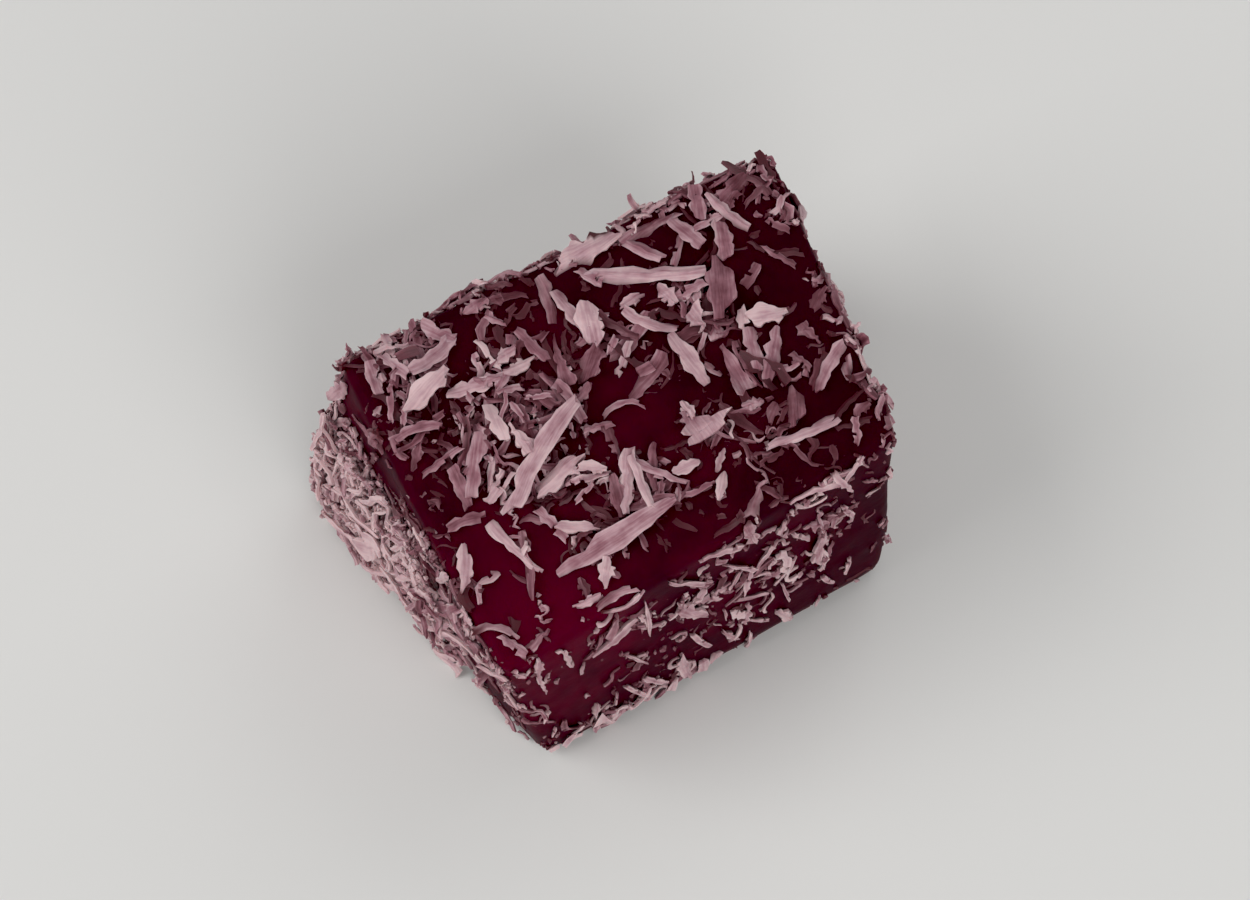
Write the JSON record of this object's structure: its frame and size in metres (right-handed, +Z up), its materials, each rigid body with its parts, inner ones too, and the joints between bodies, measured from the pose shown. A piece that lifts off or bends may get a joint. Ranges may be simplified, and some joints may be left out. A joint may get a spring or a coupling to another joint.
{
  "type": "pomegranate jelly candy",
  "caption": "Knife-cut block of dark red pomegranate jelly, slightly sagging, with crisp edges and a flat base, rolled in desiccated coconut.",
  "frame": {"origin": "middle of the bounding box at the flat base", "axes": "+Z up from the base, along the thickness of the slab the piece was cut from; X along the longer pair of cut sides, Y along the shorter; the corner at -X -Y faces the viewer"},
  "size_m": [0.0364, 0.0278, 0.023],
  "materials": {
    "jelly": "translucent dark pomegranate-red starch jelly, moist and softly glossy",
    "coconut": "desiccated coconut shreds, matt, stained pale pink by the juice"
  },
  "bodies": {
    "root": {"jelly_cube": "jelly"}
  },
  "joints": []
}
